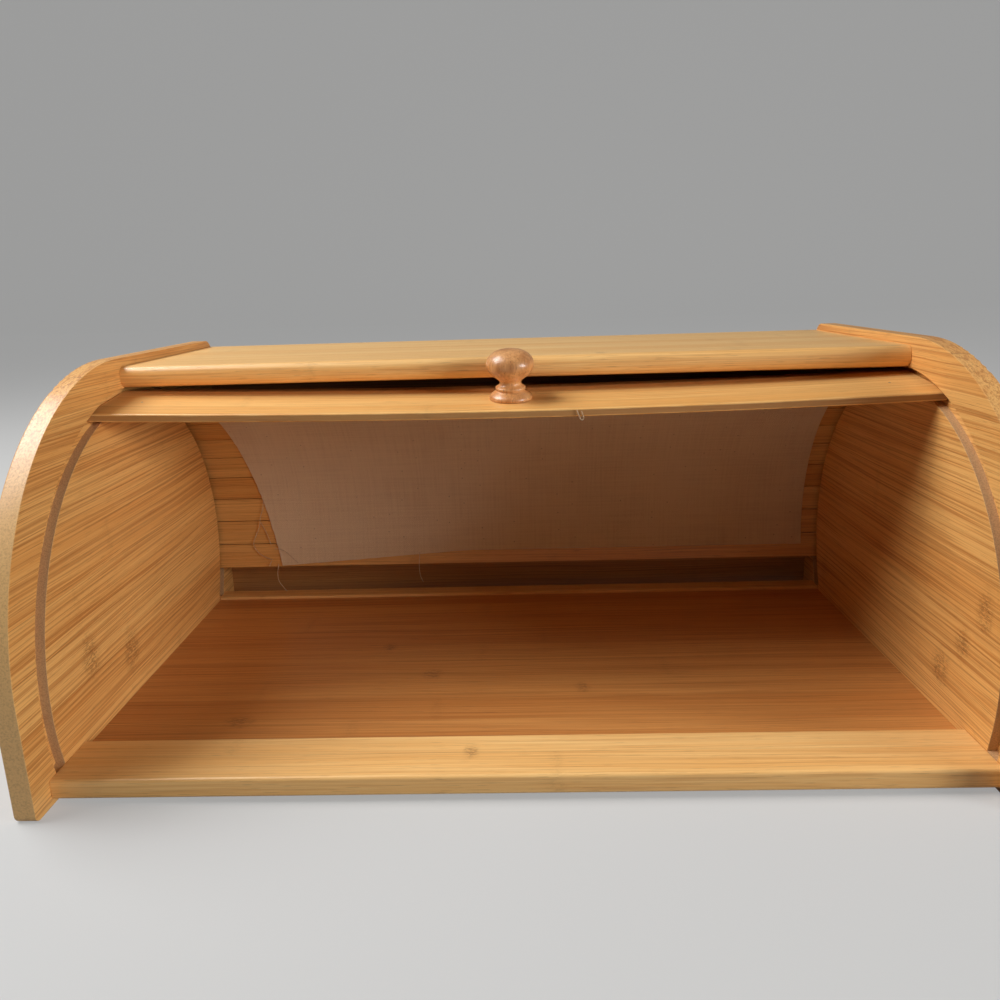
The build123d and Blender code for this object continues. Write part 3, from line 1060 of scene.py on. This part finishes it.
@dataclass
class CanvasBacking:
    """The canvas on the slats' inner faces, as one strip on each slat, so that it follows the roll top."""

    dresser: Dresser
    track: Track
    sag: Sag
    slat_count: int = 12
    slat_under: float = -1.6
    glue: float = 0.1
    thickness: float = 0.5
    half_strip: float = 7.37
    left_low: float = 146.0
    left_high: float = 172.0
    right: float = 176.0
    low: float = 27.07
    top: float = 148.5
    end_rise: float = 7.2
    knee: float = -30.0
    lap: float = 15.0
    length_cuts: int = 60
    width_cuts: int = 6
    fray: float = 0.5
    fray_waves: float = 0.9
    fray_row: float = 3.0
    fray_power: int = 8
    ravel: float = 0.3
    ravel_waves: float = 0.25
    ravel_row: float = 9.0
    thread_thickness: float = 0.4
    threads: tuple[Thread, ...] = (
        Thread("thread_left_loop", 11, (
            (-154.7, 100.6, 69.3), (-155.3, 101.3, 64.6), (-158.0, 101.8, 58.8), (-159.0, 101.9, 51.8),
            (-162.0, 101.6, 46.1), (-164.0, 101.0, 41.4), (-162.5, 100.4, 37.7), (-159.6, 99.8, 34.4),
            (-155.6, 99.3, 32.3), (-152.0, 99.0, 31.2))),
        Thread("thread_left_branch", 11, (
            (-158.2, 102.2, 54.6), (-155.6, 102.1, 49.4), (-154.0, 101.7, 44.5), (-152.6, 101.2, 40.2))),
        Thread("thread_corner_stub", 12, ((-152.6, 98.8, 30.4), (-153.6, 98.3, 28.7), (-154.1, 97.9, 27.2))),
        Thread("thread_corner_hanging", 12, (
            (-148.3, 98.5, 28.4), (-149.1, 97.9, 24.1), (-149.4, 97.5, 21.3), (-148.9, 97.2, 17.2),
            (-146.6, 97.0, 14.0), (-144.2, 96.8, 10.9))),
        Thread("thread_on_canvas", 12, (
            (-150.4, 100.6, 38.0), (-145.9, 100.5, 37.3), (-142.6, 100.1, 35.1), (-139.3, 99.4, 31.9),
            (-136.0, 98.6, 28.9))),
        Thread("thread_bottom_edge", 12, ((-59.2, 98.7, 34.0), (-61.3, 97.9, 20.3), (-57.8, 97.5, 15.1))),
        Thread("thread_front_loop", 0, (
            (28.8, -34.25, 140.7), (29.3, -34.25, 139.2), (29.9, -34.15, 138.0), (30.2, -33.95, 136.7),
            (31.0, -33.75, 135.9), (31.8, -33.75, 136.6), (31.6, -34.05, 138.1), (30.8, -34.25, 140.2))),
    )

    def left_edge(self, z: float) -> float:
        """The canvas's left edge at a height, in millimetres."""
        share = (z - self.low) / (self.top - self.low)
        return -(self.left_low + (self.left_high - self.left_low) * share)

    def last_reach(self, x: float, index: int) -> float:
        """How far towards the tail the last strip reaches in its slat's frame.

        Args:
            x: distance from the middle of the width, in millimetres.
            index: the slat's number.

        Returns:
            The distance from the slat's middle, in millimetres.
        """
        rise = self.end_rise * min(1.0, max(0.0, (x + self.left_low) / (self.knee + self.left_low)))
        place = self.track.slat_place(index)
        turn = self.track.turn(place)
        height = self.track.point(place)[1] + (self.slat_under - self.glue) * math.cos(turn)
        return (height - self.low - rise) / math.sin(turn)

    def build_strip(self, index: int) -> bpy.types.Object:
        """Makes the strip on one slat.

        Args:
            index: the slat's number; the lead slat's strip is a lap along its rear edge.

        Returns:
            The piece.
        """
        mesh = bmesh.new()
        cloth = mesh.verts.layers.float_vector.new("cloth")
        bmesh.ops.create_grid(mesh, x_segments=self.length_cuts, y_segments=self.width_cuts, size=0.5)
        own_frame = self.track.slat_frame(index)
        for vert in mesh.verts:
            u, v = vert.co.x + 0.5, vert.co.y + 0.5
            across, through = self.profile(index, v)
            z = (own_frame @ Vector((0, across * MM, through * MM))).z / MM
            left = self.left_edge(z)
            fray = self.fray * noise.noise(Vector((z * self.fray_waves, self.fray_row, 0.0)))
            left += fray * (1 - u) ** self.fray_power
            x = left + (self.right - left) * u
            if index == self.slat_count:
                reach = min(self.half_strip, self.last_reach(x, index))
                reach += self.ravel * noise.noise(Vector((x * self.ravel_waves, self.ravel_row, 0.0)))
                across = -self.half_strip + (reach + self.half_strip) * v
            through -= self.hollow(index, across)
            vert[cloth] = Vector((x, self.track.slat_place(index) + across, 0)) * MM
            sag = self.sag.at(x * MM, self.track.slat_place(index) + across)
            vert.co = own_frame @ Vector((x * MM, across * MM, through * MM - sag))
        bmesh.ops.recalc_face_normals(mesh, faces=mesh.faces)
        if mesh.faces[:][0].normal.dot(self.track.inward(index)) < 0:
            bmesh.ops.reverse_faces(mesh, faces=mesh.faces)
        piece = finished_object(mesh, f"canvas_on_{slat_name(index)}")
        shell = piece.modifiers.new("thickness", "SOLIDIFY")
        shell.thickness = self.thickness * MM
        shell.offset = 1.0
        self.dresser.place(piece, Finish.CANVAS, slat_name(index), "canvas", "canvas_backing")
        return piece

    def hollow(self, index: int, across: float) -> float:
        """How far the canvas stands off a slat's flat underside, as it bends round the track.

        Args:
            index: the slat's number.
            across: distance from the slat's middle along the track, in millimetres.

        Returns:
            The distance in millimetres.
        """
        if index == 0:
            return 0.0
        on_rear_arc = self.track.slat_place(index) > self.track.flat_run
        arc = self.track.rear_arc if on_rear_arc else self.track.front_arc
        return across ** 2 / (2 * (arc + self.slat_under))

    def build_thread(self, thread: Thread) -> bpy.types.Object:
        """Makes a loose thread as a smooth thin curve.

        Args:
            thread: the thread.

        Returns:
            The piece.
        """
        line = bpy.data.curves.new(thread.name, "CURVE")
        line.dimensions = "3D"
        line.bevel_depth = self.thread_thickness / 2 * MM
        line.bevel_resolution = 2
        line.resolution_u = 6
        spline = line.splines.new("NURBS")
        spline.points.add(len(thread.points) - 1)
        for point, place in zip(spline.points, thread.points):
            point.co = (*(c * MM for c in place), 1.0)
        spline.order_u = 3
        spline.use_endpoint_u = True
        piece = linked_object(thread.name, line)
        self.dresser.place(piece, Finish.THREAD, slat_name(thread.slat), "canvas", "canvas_backing")
        return piece

    def profile(self, index: int, share: float) -> tuple[float, float]:
        """Line of a strip's outer face in its slat's frame.

        Args:
            index: the slat's number.
            share: how far along the strip, from 0 at its front to 1.

        Returns:
            The distances along the track and outward, in millimetres.
        """
        if index:
            return -self.half_strip + 2 * self.half_strip * share, self.slat_under - self.glue
        half = self.track.lead_width / 2
        return half - self.lap * (1 - share), -self.track.lead_thickness - self.glue

    def build(self) -> None:
        """Builds and dresses every strip and the loose threads on it."""
        for index in range(self.slat_count + 1):
            piece = self.build_strip(index)
            threads = [self.build_thread(thread) for thread in self.threads if thread.slat == index]


@dataclass
class Dowels:
    """The glued dowels inside the case's joints."""

    dresser: Dresser
    boards: tuple[str, ...] = ("top_board", "front_rail", "rear_rail", "back_panel")

    def build(self) -> None:
        """Dresses the CAD's own dowels."""
        for board in self.boards:
            self.dresser.dress(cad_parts[board + "_dowels"], Finish.DOWEL)
            log.info("%s_dowels dressed", board)


@dataclass(frozen=True)
class Lamp:
    """Square soft box aimed at the box's middle. Its place and size are in metres."""

    name: str
    towards: tuple[float, float, float]
    distance: float
    size: float
    level: float

    def build(self, aim: Vector) -> None:
        """Makes the lamp. At level 1 it shows a colour that faces it as that is written.

        Args:
            aim: the point that it faces.
        """
        data = bpy.data.lights.new(self.name, "AREA")
        data.size = self.size
        data.energy = self.level * math.pi ** 2 * self.distance ** 2
        lamp = linked_object(self.name, data)
        away = Vector(self.towards).normalized()
        lamp.location = aim + away * self.distance
        lamp.rotation_euler = away.to_track_quat("Z", "Y").to_euler()


@dataclass
class Studio:
    """Floor, backdrop, lamps and camera."""

    dresser: Dresser
    aim: tuple[float, float, float] = (0.0, 0.0, 0.07)
    world_level: float = 0.01
    seen_level: float = 0.7
    lamps: tuple[Lamp, ...] = (
        Lamp("key_front", (-0.62, -0.15, 0.77), distance=1.3, size=0.6, level=0.45),
        Lamp("key_back", (-0.62, 0.12, 0.77), distance=1.3, size=0.6, level=0.62),
        Lamp("key_low", (-0.83, -0.18, 0.53), distance=1.5, size=0.3, level=0.09),
        Lamp("fill_front", (0.80, -0.55, 0.25), distance=1.5, size=0.4, level=0.28),
        Lamp("fill_side", (0.90, -0.40, 0.12), distance=1.5, size=0.4, level=0.38),
    )
    sweep_reach: float = 4.5
    sweep_radius: float = 0.7
    camera_place: tuple[float, float, float] = (1.3, -404.5, 196.2)
    yaw: float = -1.84
    pitch: float = 14.77
    roll: float = 1.74
    focal: float = 850.0
    principal: tuple[float, float] = (489.56, 505.20)
    image: float = 1000.0
    sensor: float = 36.0

    def build_sweep(self) -> None:
        """Makes the floor and the backdrop as one sheet of paper, curved up behind."""
        mesh = bmesh.new()
        reach = self.sweep_reach
        corners = [(-reach, -reach, 0), (reach, -reach, 0), (reach, reach, 0), (-reach, reach, 0)]
        floor = mesh.faces.new([mesh.verts.new(c) for c in corners])
        back_edge = max(floor.edges, key=lambda e: e.verts[0].co.y + e.verts[1].co.y)
        raised = bmesh.ops.extrude_edge_only(mesh, edges=[back_edge])
        for vert in [v for v in raised["geom"] if isinstance(v, bmesh.types.BMVert)]:
            vert.co.z += reach
        bmesh.ops.bevel(mesh, geom=[back_edge], offset=self.sweep_radius, offset_type="OFFSET", segments=24,
                        profile=0.5, affect="EDGES", material=-1)
        bmesh.ops.recalc_face_normals(mesh, faces=mesh.faces)
        sweep = finished_object(mesh, "paper_sweep", True)
        self.dresser.dress(sweep, Finish.PAPER)

    def build_light(self) -> None:
        """Makes the world's even light and the soft boxes."""
        world = bpy.data.worlds.new("studio")
        bpy.context.scene.world = world
        w = Wiring(world)
        levels = {"Value": w.seen(), "To Min": self.world_level, "To Max": self.seen_level}
        level = w.add("ShaderNodeMapRange", levels).outputs[0]
        sky = w.add("ShaderNodeBackground", {"Color": (1.0, 1.0, 1.0, 1.0), "Strength": level})
        w.add("ShaderNodeOutputWorld", {"Surface": sky.outputs[0]})
        for lamp in self.lamps:
            lamp.build(Vector(self.aim))

    def build_camera(self) -> None:
        """Makes the camera at the photograph's viewpoint."""
        data = bpy.data.cameras.new("camera")
        data.sensor_width = self.sensor
        data.lens = self.focal * self.sensor / self.image
        data.shift_x = (self.image / 2 - self.principal[0]) / self.image
        data.shift_y = (self.principal[1] - self.image / 2) / self.image
        data.clip_start = 0.01
        data.clip_end = 20.0
        yaw, pitch, roll = (math.radians(a) for a in (self.yaw, self.pitch, self.roll))
        forward = Vector((math.sin(yaw) * math.cos(pitch), math.cos(yaw) * math.cos(pitch), -math.sin(pitch)))
        right = Vector((math.cos(yaw), -math.sin(yaw), 0))
        down = forward.cross(right)
        level_right = right * math.cos(roll) + down * math.sin(roll)
        level_down = down * math.cos(roll) - right * math.sin(roll)
        turned = Matrix((level_right, -level_down, -forward)).transposed().to_4x4()
        camera = linked_object("camera", data)
        camera.matrix_world = Matrix.Translation(Vector(self.camera_place) * MM) @ turned
        bpy.context.scene.camera = camera

    def build(self) -> None:
        """Builds the whole studio."""
        self.build_camera()
        self.build_sweep()
        self.build_light()
        bpy.context.scene.view_settings.view_transform = "Standard"


def main() -> None:
    """Builds the studio and every sub-assembly in order."""
    logging.basicConfig(level=logging.INFO, format="%(name)s: %(message)s")
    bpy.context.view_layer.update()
    dresser = Dresser()
    track = Track()
    sag = Sag(track)
    for assembly in (
        Studio(dresser),
        Case(dresser, track),
        RollTop(dresser, track, sag),
        Knob(dresser, track, sag),
        CanvasBacking(dresser, track, sag),
        Dowels(dresser),
    ):
        assembly.build()
        log.info("%s built", type(assembly).__name__)


if __name__ == "__main__":
    main()
